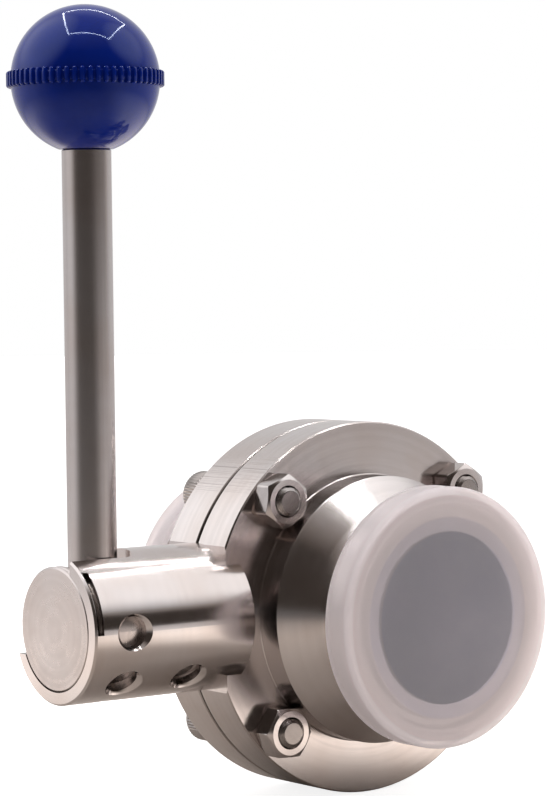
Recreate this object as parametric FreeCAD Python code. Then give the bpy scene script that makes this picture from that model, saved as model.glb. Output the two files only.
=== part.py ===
import FreeCAD, Part
import math
import os

# Hygienic butterfly shut-off valve, 38 mm size with 50.5 mm clamp ferrules.
# Millimetres. The origin is the centre of the bore, on the plane where the two
# body halves meet. +X is the flow axis towards the nut side, the stem lies on Y
# with the handle at -Y, and +Z is up along the handle rod when the valve is shut.

V = FreeCAD.Vector
X_AXIS = V(1, 0, 0)
Y_AXIS = V(0, 1, 0)
Z_AXIS = V(0, 0, 1)
ORIGIN = V(0, 0, 0)

# ---- driving dimensions -------------------------------------------------------
RUN = 0.05                 # radial clearance of a turning or sliding fit
SNUG = 0.02                # gap of a fixed fit
OVER = 1.0                 # how far a cutting shape runs past the metal

BORE_R = 17.8              # tube bore 35.6
NECK_R = 19.0              # tube outside 38
FERRULE_R = 25.25          # clamp ferrule outside 50.5
HALF_LENGTH = 36.4         # parting plane to ferrule face
FERRULE_RIM = 1.8          # straight rim of the ferrule
FERRULE_TAPER = 2.3        # length of its 20 degree clamping taper
GROOVE_IN_R = 20.6         # gasket groove in the ferrule face
GROOVE_OUT_R = 22.9
GROOVE_DEPTH = 1.4
GROOVE_DRAFT = 0.5
FERRULE_EDGE = 0.3

FLANGE_R = 39.3
FLANGE_FACE = 10.25        # parting plane to the outer flange face
PARTING = 0.15             # half of the gap between the body halves
FLANGE_FLAT = 36.3         # stem axis origin to the flat under the handle
GAP_CHAMFER = 0.4
RIM_CHAMFER = 0.3
DRUM_BASE_R = 28.2         # turned shoulder outside each flange
DRUM_EDGE_R = 28.1
DRUM_EDGE_X = 16.6
DRUM_EDGE_BREAK = 0.2      # broken front edge of the drum
CONE_END_X = 21.7          # straight cone from the drum edge
CONE_END_R = 22.3
COVE_R = 10.0              # concave sweep from the cone into the neck
DRUM_LIP = 0.18            # low bead where the drum leaves the flange
DRUM_LIP_WIDTH = 0.5

BOLT_PITCH = 23.9          # bolts on a square of 47.8
BOLT_R = 3.0               # M6
BOLT_HOLE_R = 3.3
BOLT_CHAMFER = 0.6
NUT_FLATS = 10.0
NUT_HEIGHT = 5.0
NUT_CORNER_R = 5.4         # its corners are rounded off
NUT_FACE_INSET = 0.2       # the chamfer starts this far inside the flats
NUT_CHAMFER_ANGLE = 30.0
NUT_SINK = 0.5             # countersink at the thread
STUD_PROUD = 0.8
HEAD_R = 5.0
HEAD_HEIGHT = 6.0
HEAD_SOCKET = 5.0
HEAD_SOCKET_DEPTH = 3.0
NUT_TURNS = (23.0, 26.0, 58.0, 15.0)   # where one corner of each nut points, +Y towards +Z

SEAT_IN_R = 17.6
SEAT_OUT_R = 26.0
SEAT_HALF = 9.0
SEAT_RELIEF = 0.2          # liner stands back from the bore
SEAT_BEAD_HALF = 3.6       # half width of its sealing bead
DISC_R = 17.5
DISC_RIM = 1.4             # half thickness at the rim
DISC_MID = 3.0             # half thickness in the middle
DISC_CROWN = 0.5           # rounding of the sealing edge
DISC_BOSS_R = 6.4
STEM_R = 5.0
STEM_SQUARE = 8.0
SQUARE_START = 18.6        # outer end of the square, from the handle's outer face
SQUARE_OVERLAP = 0.5
BUSH_R = 7.0
BUSH_START = 26.2
STEM_LOWER_END = 33.0
LOWER_POCKET = 33.6

HANDLE_END = 71.3          # stem origin to the outer face of the handle
SLEEVE_R = 15.3
SLEEVE_BORE_R = 12.65
SLEEVE_EAR = 3.9           # how far the ears reach over the flanges
EAR_GAP = 0.05
LEDGE_AT = 30.15           # distance from the handle's outer face
LEDGE_HOLE_R = 9.0
HUB_R = 12.6
HUB_LENGTH = 30.1
HUB_LEAD = 1.0             # lead-in chamfer at its inner end
ROD_AT = 9.3               # rod and index holes, from the outer face
ROD_R = 5.0
WINDOW_HALF = 6.0          # half width of the rod window
WINDOW_END = 16.3
WINDOW_CORNER = 3.0
HANDLE_SWING = 90.0
INDEX_HOLE_R = 3.2
INDEX_SINK = 1.95          # cone of the countersink, from OVER outside the sleeve
SCREW_HOLE_AT = 24.9
SCREW_HOLE_ROUND = 135.0   # degrees round from the top
WIRE_SLOT_START = 0.45
WIRE_SLOT_END = 1.95
WIRE_SLOT_FROM = 38.0      # degrees round from the top
WIRE_SLOT_TO = 90.0
WIRE_R = 0.55
WIRE_MOUTH = 3.0           # degrees the wire stops short of the window at each side
EDGE = 0.4                 # broken edges on the handle

PLUNGER_NOSE_R = 3.0
NOSE_TIP = -12.2           # rest: nose just inside the hub surface
NOSE_CHAMFER = 0.5
COLLAR_R = 6.6
COLLAR_LOW = -1.7
COLLAR_HIGH = 0.3
POCKET_R = 7.0
POCKET_FLOOR = -6.1
GLAND_LOW = 6.0
GLAND_HIGH = 9.8
GLAND_CHAMFER = 0.3
SPANNER_R = 0.4            # pair of holes that a pin spanner turns the gland by
SPANNER_DEPTH = 1.5
PLUNGER_STUD_R = 3.0
PLUNGER_STUD = 8.0
SPRING_MEAN_R = 5.85
SPRING_WIRE_R = 0.4
SPRING_TURNS = 4.0
SPRING_POINTS_PER_TURN = 24
GRUB_R = 2.5
GRUB_SOCKET = 2.5
GRUB_SOCKET_DEPTH = 2.6
GRUB_SUNK = 1.4            # below the hub's surface

BALL_Z = 110.0
BALL_R = 15.0
BALL_BAND_R = 15.85
BALL_BAND_HALF = 1.65
BALL_FLAT = 13.95          # from the ball's middle to the flat at its foot
BALL_MID_ARC = 40.0        # degrees; a place on the ball between the band and its ends
INSERT_R = 4.7
KNOB_STUD_R = 3.0
INSERT_LENGTH = 13.0
INSERT_FLOOR = 1.0
ROD_TOP_GAP = 2.0
ROD_CHAMFER = 0.3

CAP_WALL = 1.5
CAP_FACE = 1.25
CAP_SKIRT_X = 30.9
CAP_FIT = 0.08
CAP_ROUND = 1.0


# ---- helpers ------------------------------------------------------------------
def save(shape, name):
    shape.exportStep("parts/" + name + ".step")


def rod_between(radius, start, end):
    """Cylinder from one point to another."""
    span = end.sub(start)
    return Part.makeCylinder(radius, span.Length, start, span)


def turned_on_x(points):
    """Solid of revolution round the flow axis from (x, r) points or arc triples."""
    return turned(points, V(1, 0, 0), lambda a, r: V(a, r, 0))


def turned(points, axis, place):
    """Profile items are (a, r), or (mid, end) for an arc from the last point."""
    edges = []
    first = place(*points[0])
    last = first
    for item in points[1:]:
        if isinstance(item[0], tuple):
            end = place(*item[1])
            edges.append(Part.Arc(last, place(*item[0]), end).toShape())
        else:
            end = place(*item)
            edges.append(Part.makeLine(last, end))
        last = end
    if last.sub(first).Length > 1e-6:
        edges.append(Part.makeLine(last, first))
    face = Part.Face(Part.Wire(edges))
    return face.revolve(ORIGIN, axis, 360)


def hexagon(flats, height, base, axis, turn=0.0):
    """Hexagonal prism standing on base along axis, turned by degrees about it."""
    corner = flats / math.sqrt(3)
    ring = []
    for i in range(7):
        a = math.radians(60 * i)
        ring.append(V(corner * math.cos(a), corner * math.sin(a), 0))
    prism = Part.Face(Part.makePolygon(ring)).extrude(V(0, 0, height))
    prism.rotate(ORIGIN, Z_AXIS, turn)
    prism.Placement = FreeCAD.Placement(base, FreeCAD.Rotation(Z_AXIS, axis)).multiply(prism.Placement)
    return prism


def mirror_x(shape):
    """The same shape on the other side of the parting plane."""
    return shape.mirror(ORIGIN, X_AXIS)


def bolt_places():
    """The four bolts, in the order: handle side top, far side top, handle side low, far side low."""
    return [(-BOLT_PITCH, BOLT_PITCH), (BOLT_PITCH, BOLT_PITCH),
            (-BOLT_PITCH, -BOLT_PITCH), (BOLT_PITCH, -BOLT_PITCH)]


def on_sleeve(s):
    """Y of a place measured from the handle's outer face."""
    return -HANDLE_END + s


def round_dir(degrees):
    """Direction round the stem axis: 0 is up, 90 towards the nut side."""
    a = math.radians(degrees)
    return V(math.sin(a), 0, math.cos(a))


# ---- valve body ---------------------------------------------------------------
def cove_arc():
    """Middle and end of the concave sweep that starts at the cone and meets the neck."""
    drop = NECK_R + COVE_R - CONE_END_R
    reach = math.sqrt(COVE_R ** 2 - drop ** 2)
    centre_x = CONE_END_X + reach
    start = math.atan2(-drop, -reach)
    mid = (start - math.pi / 2) / 2
    return ((centre_x + COVE_R * math.cos(mid), NECK_R + COVE_R + COVE_R * math.sin(mid)),
            (centre_x, NECK_R))


def body_profile():
    """Outline of the nut-side half, from the parting plane to the ferrule face."""
    rim_x = HALF_LENGTH - FERRULE_RIM
    taper_x = rim_x - FERRULE_TAPER
    return [(PARTING, BORE_R),
            (PARTING, FLANGE_R - GAP_CHAMFER),
            (PARTING + GAP_CHAMFER, FLANGE_R),
            (FLANGE_FACE - RIM_CHAMFER, FLANGE_R),
            (FLANGE_FACE, FLANGE_R - RIM_CHAMFER),
            (FLANGE_FACE, DRUM_BASE_R + DRUM_LIP),
            (FLANGE_FACE + DRUM_LIP_WIDTH, DRUM_BASE_R + DRUM_LIP),
            (FLANGE_FACE + DRUM_LIP_WIDTH + DRUM_LIP, DRUM_BASE_R),
            (DRUM_EDGE_X - DRUM_EDGE_BREAK, DRUM_EDGE_R),
            (DRUM_EDGE_X, DRUM_EDGE_R - DRUM_EDGE_BREAK),
            (CONE_END_X, CONE_END_R),
            cove_arc(),
            (taper_x, NECK_R),
            (rim_x, FERRULE_R),
            (HALF_LENGTH - FERRULE_EDGE, FERRULE_R),
            (HALF_LENGTH, FERRULE_R - FERRULE_EDGE),
            (HALF_LENGTH, GROOVE_OUT_R),
            (HALF_LENGTH - GROOVE_DEPTH, GROOVE_OUT_R - GROOVE_DRAFT),
            (HALF_LENGTH - GROOVE_DEPTH, GROOVE_IN_R + GROOVE_DRAFT),
            (HALF_LENGTH, GROOVE_IN_R),
            (HALF_LENGTH, BORE_R)]


def body_half():
    """Nut-side half: flange, drum, cone, neck and ferrule, with its pockets cut."""
    half = turned_on_x(body_profile())
    pocket = Part.makeCylinder(SEAT_OUT_R + SNUG, SEAT_HALF + SNUG, ORIGIN, X_AXIS)
    half = half.cut(pocket)
    stem_way = rod_between(BUSH_R + SNUG, V(0, -FLANGE_R - OVER, 0), V(0, LOWER_POCKET, 0))
    half = half.cut(stem_way)
    for y, z in bolt_places():
        half = half.cut(rod_between(BOLT_HOLE_R, V(-OVER, y, z), V(FLANGE_FACE + OVER, y, z)))
    size = 2 * FLANGE_R
    block = Part.makeBox(size, size, size, V(-OVER, -FLANGE_FLAT - size, -FLANGE_R))
    return half.cut(block)


def seat_ring():
    """Rubber liner with a bead in the bore and two holes for the stem."""
    wall = BORE_R + SEAT_RELIEF
    ring = turned_on_x([(-SEAT_HALF, wall), (-SEAT_HALF, SEAT_OUT_R), (SEAT_HALF, SEAT_OUT_R),
                        (SEAT_HALF, wall), (SEAT_BEAD_HALF, wall),
                        ((0, SEAT_IN_R), (-SEAT_BEAD_HALF, wall))])
    return ring.cut(rod_between(STEM_R + RUN, V(0, -FLANGE_R, 0), V(0, FLANGE_R, 0)))


def valve_disc():
    """Disc with its two stems in one piece; it shuts the bore when the rod is up."""
    shoulder = DISC_R - DISC_CROWN
    disc = turned_on_x([(-DISC_MID, 0), (-DISC_MID, DISC_BOSS_R), (-DISC_RIM, shoulder),
                        ((0, DISC_R), (DISC_RIM, shoulder)), (DISC_MID, DISC_BOSS_R), (DISC_MID, 0)])
    boss = rod_between(DISC_BOSS_R, V(0, -DISC_R, 0), V(0, DISC_R, 0))
    disc = disc.fuse(boss.common(Part.makeSphere(DISC_R)))
    stem = rod_between(STEM_R, V(0, -FLANGE_FLAT - SQUARE_OVERLAP, 0), V(0, STEM_LOWER_END, 0))
    square = stem_square(STEM_SQUARE, STEM_R, SQUARE_START)
    return disc.fuse([stem, square]).removeSplitter()


def stem_square(flats, corner_r, s_end):
    """Square drive on the stem, flats at 45 degrees, corners turned off."""
    length = abs(on_sleeve(s_end)) - FLANGE_FLAT
    square = Part.makeBox(flats, length, flats, V(-flats / 2, 0, -flats / 2))
    square.rotate(ORIGIN, Y_AXIS, 45)
    square.translate(V(0, on_sleeve(s_end), 0))
    return square.common(rod_between(corner_r, V(0, on_sleeve(s_end), 0), V(0, -FLANGE_FLAT, 0)))


def stem_bush(start, end):
    """Plain bearing for the stem between two places on Y."""
    outer = rod_between(BUSH_R, V(0, start, 0), V(0, end, 0))
    return outer.cut(rod_between(STEM_R + RUN, V(0, start, 0), V(0, end, 0)))


# ---- flange fasteners ---------------------------------------------------------
def flange_bolt(y, z):
    """M6 cap screw, head on the far flange, chamfered end just past the nut."""
    end_x = FLANGE_FACE + NUT_HEIGHT + STUD_PROUD
    head_x = -FLANGE_FACE - HEAD_HEIGHT
    bolt = turned_on_x([(head_x, 0), (head_x, HEAD_R - BOLT_CHAMFER), (head_x + BOLT_CHAMFER, HEAD_R),
                        (-FLANGE_FACE, HEAD_R), (-FLANGE_FACE, BOLT_R), (end_x - BOLT_CHAMFER, BOLT_R),
                        (end_x, BOLT_R - BOLT_CHAMFER), (end_x, 0)])
    bolt = bolt.cut(hexagon(HEAD_SOCKET, HEAD_SOCKET_DEPTH, V(head_x, 0, 0), X_AXIS))
    bolt.translate(V(0, y, z))
    return bolt


def flange_nut(y, z, turn):
    """M6 hex nut with its corners chamfered at both faces."""
    nut = hexagon(NUT_FLATS, NUT_HEIGHT, V(FLANGE_FACE, 0, 0), X_AXIS, turn + 90)
    far = FLANGE_FACE + NUT_HEIGHT
    corner = NUT_CORNER_R
    rim = NUT_FLATS / 2 - NUT_FACE_INSET
    drop = (corner - rim) * math.tan(math.radians(NUT_CHAMFER_ANGLE))
    nut = nut.common(turned_on_x([(FLANGE_FACE, 0), (FLANGE_FACE, rim), (FLANGE_FACE + drop, corner),
                                  (far - drop, corner), (far, rim), (far, 0)]))
    nut = nut.cut(rod_between(BOLT_R + SNUG, ORIGIN, V(far + OVER, 0, 0)))
    nut = nut.cut(Part.makeCone(BOLT_R + NUT_SINK, BOLT_R, NUT_SINK, V(far, 0, 0), V(-1, 0, 0)))
    nut.translate(V(0, y, z))
    return nut


# ---- handle -------------------------------------------------------------------
def sector(inner, outer, s0, s1, a0, a1):
    """Ring sector round the stem axis between two angles."""
    face = Part.Face(Part.makePolygon([V(0, on_sleeve(s0), inner), V(0, on_sleeve(s0), outer),
                                       V(0, on_sleeve(s1), outer), V(0, on_sleeve(s1), inner),
                                       V(0, on_sleeve(s0), inner)]))
    face.rotate(ORIGIN, Y_AXIS, a0)
    return face.revolve(ORIGIN, Y_AXIS, a1 - a0)


def index_hole(degrees, s):
    """Radial hole through the sleeve wall with a countersunk mouth."""
    way = round_dir(degrees)
    centre = V(0, on_sleeve(s), 0)
    inner = centre.add(way * (SLEEVE_BORE_R - OVER))
    outside = centre.add(way * (SLEEVE_R + OVER))
    hole = rod_between(INDEX_HOLE_R, inner, outside)
    mouth = Part.makeCone(INDEX_HOLE_R + INDEX_SINK, INDEX_HOLE_R, INDEX_SINK, outside, way * -1)
    return hole.fuse(mouth)


def rod_window():
    """Opening that the rod sweeps, open to the outer end of the sleeve."""
    edge = math.degrees(math.asin(WINDOW_HALF / SLEEVE_R))
    inner = SLEEVE_BORE_R - OVER
    outer = SLEEVE_R + OVER
    straight_end = WINDOW_END - WINDOW_CORNER
    start = WINDOW_HALF - WINDOW_CORNER
    cut = sector(inner, outer, -OVER, WINDOW_END, -HANDLE_SWING, 0)
    for turn in (0, -HANDLE_SWING):
        bar = Part.makeBox(2 * WINDOW_HALF, straight_end + OVER, outer,
                           V(-WINDOW_HALF, on_sleeve(-OVER), 0))
        nose = Part.makeBox(2 * start, WINDOW_END + OVER, outer, V(-start, on_sleeve(-OVER), 0))
        left = rod_between(WINDOW_CORNER, V(-start, on_sleeve(straight_end), 0),
                           V(-start, on_sleeve(straight_end), outer))
        right = rod_between(WINDOW_CORNER, V(start, on_sleeve(straight_end), 0),
                            V(start, on_sleeve(straight_end), outer))
        opening = bar.fuse([nose, left, right])
        opening.rotate(ORIGIN, Y_AXIS, turn)
        cut = cut.fuse(opening)
    core = rod_between(inner, V(0, on_sleeve(-2 * OVER), 0), V(0, on_sleeve(WINDOW_END + OVER), 0))
    return cut.cut(core)


def handle_sleeve():
    """Fixed index sleeve: sits on the flange flats, its ears straddle the flanges."""
    seat = HANDLE_END - FLANGE_FLAT
    end = seat + SLEEVE_EAR
    sleeve = turned([(on_sleeve(0), SLEEVE_BORE_R), (on_sleeve(0), SLEEVE_R - EDGE),
                     (on_sleeve(EDGE), SLEEVE_R), (on_sleeve(end - EDGE), SLEEVE_R),
                     (on_sleeve(end), SLEEVE_R - EDGE), (on_sleeve(end), SLEEVE_BORE_R),
                     (on_sleeve(seat - EAR_GAP), SLEEVE_BORE_R), (on_sleeve(seat - EAR_GAP), LEDGE_HOLE_R),
                     (on_sleeve(LEDGE_AT), LEDGE_HOLE_R), (on_sleeve(LEDGE_AT), SLEEVE_BORE_R)],
                    Y_AXIS, lambda a, r: V(r, a, 0))
    slab = FLANGE_FACE + EAR_GAP
    sleeve = sleeve.cut(Part.makeBox(2 * slab, SLEEVE_EAR + OVER, 4 * SLEEVE_R,
                                     V(-slab, -FLANGE_FLAT - SNUG, -2 * SLEEVE_R)))
    sleeve = sleeve.cut(rod_window())
    for degrees in (180 - HANDLE_SWING, 180 - HANDLE_SWING / 2, 180):
        sleeve = sleeve.cut(index_hole(degrees, ROD_AT))
    sleeve = sleeve.cut(index_hole(SCREW_HOLE_ROUND, SCREW_HOLE_AT))
    sleeve = sleeve.cut(ring_on_y(SLEEVE_BORE_R, WIRE_R + RUN))
    return sleeve.cut(sector(SLEEVE_BORE_R - OVER, SLEEVE_R + OVER, WIRE_SLOT_START, WIRE_SLOT_END,
                             WIRE_SLOT_FROM, WIRE_SLOT_TO))


def ring_on_y(mean_r, wire_r):
    """Torus in the middle of the wire slot."""
    s = (WIRE_SLOT_START + WIRE_SLOT_END) / 2
    return Part.makeTorus(mean_r, wire_r, V(0, on_sleeve(s), 0), Y_AXIS)


def retaining_wire():
    """Wire ring fed in through the slot; it keeps the hub in the sleeve."""
    edge = math.degrees(math.asin(WINDOW_HALF / SLEEVE_R)) + WIRE_MOUTH
    ring = ring_on_y(SLEEVE_BORE_R, WIRE_R)
    mouth = sector(SLEEVE_BORE_R - OVER, SLEEVE_BORE_R + OVER, 0, WIRE_SLOT_END + OVER,
                   -HANDLE_SWING - edge, edge)
    return ring.cut(mouth)


def handle_hub():
    """Turning core: carries the rod pocket and the square socket for the stem."""
    hub = turned([(on_sleeve(0), 0), (on_sleeve(0), HUB_R - EDGE), (on_sleeve(EDGE), HUB_R),
                  (on_sleeve(HUB_LENGTH - HUB_LEAD), HUB_R), (on_sleeve(HUB_LENGTH), HUB_R - HUB_LEAD),
                  (on_sleeve(HUB_LENGTH), 0)], Y_AXIS, lambda a, r: V(r, a, 0))
    rod_y = on_sleeve(ROD_AT)
    hub = hub.cut(rod_between(POCKET_R + SNUG, V(0, rod_y, POCKET_FLOOR), V(0, rod_y, HUB_R + OVER)))
    hub = hub.cut(rod_between(PLUNGER_NOSE_R + RUN, V(0, rod_y, -HUB_R - OVER), V(0, rod_y, 0)))
    socket = stem_square(STEM_SQUARE + 2 * SNUG, STEM_R + SNUG, SQUARE_START - RUN)
    hub = hub.cut(socket)
    way = round_dir(SCREW_HOLE_ROUND)
    centre = V(0, on_sleeve(SCREW_HOLE_AT), 0)
    hub = hub.cut(rod_between(GRUB_R + SNUG, centre, centre.add(way * (HUB_R + OVER))))
    return hub.cut(ring_on_y(SLEEVE_BORE_R, WIRE_R + RUN))


def grub_screw():
    """Hexagon socket screw that holds the hub on the stem's flat."""
    way = round_dir(SCREW_HOLE_ROUND)
    centre = V(0, on_sleeve(SCREW_HOLE_AT), 0)
    start = STEM_SQUARE / 2 + SNUG
    end = HUB_R - GRUB_SUNK
    screw = rod_between(GRUB_R, centre.add(way * start), centre.add(way * end))
    floor = centre.add(way * (end - GRUB_SOCKET_DEPTH))
    return screw.cut(hexagon(GRUB_SOCKET, GRUB_SOCKET_DEPTH, floor, way))


def upright(points):
    """Turned part on the rod's axis from (z, r) points."""
    shape = turned(points, Z_AXIS, lambda a, r: V(r, 0, a))
    shape.translate(V(0, on_sleeve(ROD_AT), 0))
    return shape


def index_plunger():
    """Nose, spring collar and threaded stud, turned in one piece."""
    return upright([(NOSE_TIP, 0), (NOSE_TIP, PLUNGER_NOSE_R - NOSE_CHAMFER),
                    (NOSE_TIP + NOSE_CHAMFER, PLUNGER_NOSE_R), (COLLAR_LOW, PLUNGER_NOSE_R),
                    (COLLAR_LOW, COLLAR_R), (COLLAR_HIGH, COLLAR_R), (COLLAR_HIGH, PLUNGER_STUD_R),
                    (COLLAR_HIGH + PLUNGER_STUD, PLUNGER_STUD_R), (COLLAR_HIGH + PLUNGER_STUD, 0)])


def pull_rod():
    """Round rod, drilled at the foot for the plunger and stepped for the knob insert."""
    top = BALL_Z - BALL_FLAT
    tip = top + INSERT_LENGTH - ROD_TOP_GAP
    foot = COLLAR_HIGH + SNUG
    drilled = COLLAR_HIGH + PLUNGER_STUD + OVER
    return upright([(foot, PLUNGER_STUD_R + SNUG), (foot, ROD_R), (top - ROD_CHAMFER, ROD_R),
                    (top, ROD_R - ROD_CHAMFER), (top, KNOB_STUD_R), (tip, KNOB_STUD_R), (tip, 0),
                    (drilled, 0), (drilled, PLUNGER_STUD_R + SNUG)])


def spring_gland():
    """Threaded ring that closes the pocket and guides the rod."""
    ring = upright([(GLAND_LOW, ROD_R + RUN), (GLAND_LOW, POCKET_R), (GLAND_HIGH - GLAND_CHAMFER, POCKET_R),
                    (GLAND_HIGH, POCKET_R - GLAND_CHAMFER), (GLAND_HIGH, ROD_R + RUN)])
    y = on_sleeve(ROD_AT)
    for side in (-1, 1):
        x = side * (POCKET_R - GLAND_CHAMFER + ROD_R) / 2
        floor = V(x, y, GLAND_HIGH - SPANNER_DEPTH)
        ring = ring.cut(rod_between(SPANNER_R, floor, V(x, y, GLAND_HIGH + OVER)))
    return ring


def rod_spring():
    """Coil spring between the plunger's collar and the gland."""
    low = COLLAR_HIGH + SPRING_WIRE_R + RUN / 2
    rise = GLAND_LOW - SPRING_WIRE_R - RUN / 2 - low
    steps = int(SPRING_TURNS * SPRING_POINTS_PER_TURN)
    points = []
    for k in range(steps + 1):
        turn = 2 * math.pi * SPRING_TURNS * k / steps
        points.append(V(SPRING_MEAN_R * math.cos(turn), SPRING_MEAN_R * math.sin(turn), rise * k / steps))
    centre_line = Part.BSplineCurve()
    centre_line.interpolate(points)
    along = V(0, 2 * math.pi * SPRING_MEAN_R, rise / SPRING_TURNS)
    section = Part.Wire(Part.makeCircle(SPRING_WIRE_R, points[0], along))
    coil = Part.Wire(centre_line.toShape()).makePipeShell([section], True, True)
    coil.translate(V(0, on_sleeve(ROD_AT), low))
    return coil


def on_ball(degrees):
    """(z, r) of a place on the ball, by its angle above the middle."""
    turn = math.radians(degrees)
    return BALL_Z + BALL_R * math.sin(turn), BALL_R * math.cos(turn)


def ball_knob():
    """Moulded ball with a raised band round its middle and a moulded-in insert."""
    half = BALL_BAND_HALF
    meet = math.sqrt(BALL_R ** 2 - half ** 2)
    flat_r = math.sqrt(BALL_R ** 2 - BALL_FLAT ** 2)
    insert_top = BALL_Z - BALL_FLAT + INSERT_LENGTH + SNUG
    return upright([(BALL_Z - BALL_FLAT, INSERT_R + SNUG), (BALL_Z - BALL_FLAT, flat_r),
                    (on_ball(-BALL_MID_ARC), (BALL_Z - half, meet)),
                    (BALL_Z - half, BALL_BAND_R), (BALL_Z + half, BALL_BAND_R), (BALL_Z + half, meet),
                    (on_ball(BALL_MID_ARC), (BALL_Z + BALL_R, 0)),
                    (insert_top, 0), (insert_top, INSERT_R + SNUG)])


def knob_insert():
    """Brass bush moulded into the ball, threaded for the rod."""
    low = BALL_Z - BALL_FLAT
    bore = KNOB_STUD_R + SNUG
    end = low + INSERT_LENGTH
    return upright([(low + SNUG, bore), (low + SNUG, INSERT_R), (end, INSERT_R), (end, 0),
                    (end - INSERT_FLOOR, 0), (end - INSERT_FLOOR, bore)])


# ---- end cap ------------------------------------------------------------------
def end_cap():
    """Thin push-on cover over the ferrule, rounded at its front edge."""
    inner = FERRULE_R + CAP_FIT
    outer = inner + CAP_WALL
    face_in = HALF_LENGTH + CAP_FIT
    face_out = face_in + CAP_FACE
    c = CAP_ROUND
    k = c * (1 - math.sqrt(0.5))
    return turned_on_x([(CAP_SKIRT_X, inner), (CAP_SKIRT_X, outer), (face_out - c, outer),
                        ((face_out - k, outer - k), (face_out, outer - c)),
                        (face_out, 0), (face_in, 0), (face_in, inner)])


# ---- write every piece --------------------------------------------------------
def main():
    os.makedirs("parts", exist_ok=True)
    front = body_half()
    save(front, "body_front")
    save(mirror_x(front), "body_rear")
    save(seat_ring(), "seat_ring")
    save(valve_disc(), "valve_disc")
    save(stem_bush(-FLANGE_FLAT, -BUSH_START), "upper_bush")
    save(stem_bush(BUSH_START, LOWER_POCKET - SNUG), "lower_bush")
    bolts = [flange_bolt(y, z) for y, z in bolt_places()]
    save(Part.makeCompound(bolts), "flange_bolts")
    nuts = [flange_nut(y, z, turn) for (y, z), turn in zip(bolt_places(), NUT_TURNS)]
    save(Part.makeCompound(nuts), "flange_nuts")
    save(handle_sleeve(), "handle_sleeve")
    save(retaining_wire(), "retaining_wire")
    save(handle_hub(), "handle_hub")
    save(grub_screw(), "grub_screw")
    save(index_plunger(), "index_plunger")
    save(pull_rod(), "pull_rod")
    save(rod_spring(), "rod_spring")
    save(spring_gland(), "spring_gland")
    save(ball_knob(), "ball_knob")
    save(knob_insert(), "knob_insert")
    cap = end_cap()
    save(cap, "front_cap")
    save(mirror_x(cap), "rear_cap")


main()
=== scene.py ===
"""Looks of a lever-operated butterfly valve with push-on end caps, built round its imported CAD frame."""

import math

import bmesh
import bpy
import numpy as np
from mathutils import Matrix, Vector


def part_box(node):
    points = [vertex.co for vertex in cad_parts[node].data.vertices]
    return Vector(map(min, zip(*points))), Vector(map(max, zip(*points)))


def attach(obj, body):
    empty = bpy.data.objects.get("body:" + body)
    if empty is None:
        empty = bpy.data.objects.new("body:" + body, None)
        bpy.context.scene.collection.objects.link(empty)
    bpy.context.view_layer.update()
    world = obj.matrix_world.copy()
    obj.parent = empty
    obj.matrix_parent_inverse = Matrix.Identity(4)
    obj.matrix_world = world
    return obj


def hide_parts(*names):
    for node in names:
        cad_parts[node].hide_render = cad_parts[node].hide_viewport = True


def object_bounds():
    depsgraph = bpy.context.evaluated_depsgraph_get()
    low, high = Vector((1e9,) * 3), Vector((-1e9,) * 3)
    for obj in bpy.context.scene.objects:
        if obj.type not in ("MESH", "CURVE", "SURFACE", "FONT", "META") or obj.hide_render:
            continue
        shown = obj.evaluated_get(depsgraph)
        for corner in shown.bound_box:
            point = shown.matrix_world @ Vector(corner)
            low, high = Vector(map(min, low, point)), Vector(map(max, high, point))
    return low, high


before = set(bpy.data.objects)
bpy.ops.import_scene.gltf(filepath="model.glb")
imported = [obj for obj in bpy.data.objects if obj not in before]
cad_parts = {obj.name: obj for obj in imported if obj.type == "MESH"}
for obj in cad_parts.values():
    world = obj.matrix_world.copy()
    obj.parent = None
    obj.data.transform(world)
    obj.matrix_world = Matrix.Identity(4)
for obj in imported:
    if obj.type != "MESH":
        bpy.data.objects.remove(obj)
CAD_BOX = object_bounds()

MM = 0.001
ORIGIN = Vector((0, 0, 0))
X_AXIS = Vector((1, 0, 0))
Y_AXIS = Vector((0, 1, 0))
Z_AXIS = Vector((0, 0, 1))
AXES = {"X": X_AXIS, "Y": Y_AXIS, "Z": Z_AXIS}
FULL_TURN = 2 * math.pi
WHITE = (1, 1, 1, 1)


# ---- places taken from the frame ----------------------------------------------
def middle(node):
    """Centre of a CAD node's box."""
    low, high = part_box(node)
    return (low + high) / 2


def extent(node):
    """Size of a CAD node's box along each axis."""
    low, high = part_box(node)
    return high - low


# ---- mesh code ----------------------------------------------------------------
SHARP_DEGREES = 32                # an edge that bends more than this is shown sharp
NO_RADIUS = 1e-9


def new_mesh_piece(name, verts, faces, sharp_degrees=SHARP_DEGREES):
    """Closed mesh with its normals outwards, smooth except at its sharp edges."""
    mesh = bpy.data.meshes.new(name)
    mesh.from_pydata([tuple(v) for v in verts], [], faces)
    shell = bmesh.new()
    shell.from_mesh(mesh)
    bmesh.ops.recalc_face_normals(shell, faces=shell.faces)
    shell.to_mesh(mesh)
    shell.free()
    for polygon in mesh.polygons:
        polygon.use_smooth = True
    mesh.set_sharp_from_angle(angle=math.radians(sharp_degrees))
    mesh.update()
    piece = bpy.data.objects.new(name, mesh)
    bpy.context.scene.collection.objects.link(piece)
    return piece


def square_to(axis):
    """Angle 0 and angle 90 degrees of a shape turned about an X or Z axis."""
    if axis.z:
        return X_AXIS, Y_AXIS * axis.z
    return Y_AXIS, Z_AXIS * axis.x


def ring_points(row, origin, axis, spokes):
    """Points of one ring, or a single point where its radius is 0."""
    first, second = square_to(axis)
    along, radius = (np.broadcast_to(np.asarray(part, float), spokes.shape) for part in row)
    if radius.max() < NO_RADIUS:
        return [origin + axis * float(along[0])]
    cos, sin = np.cos(spokes), np.sin(spokes)
    return [origin + axis * float(a) + first * float(r * c) + second * float(r * s)
            for a, r, c, s in zip(along, radius, cos, sin)]


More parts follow.
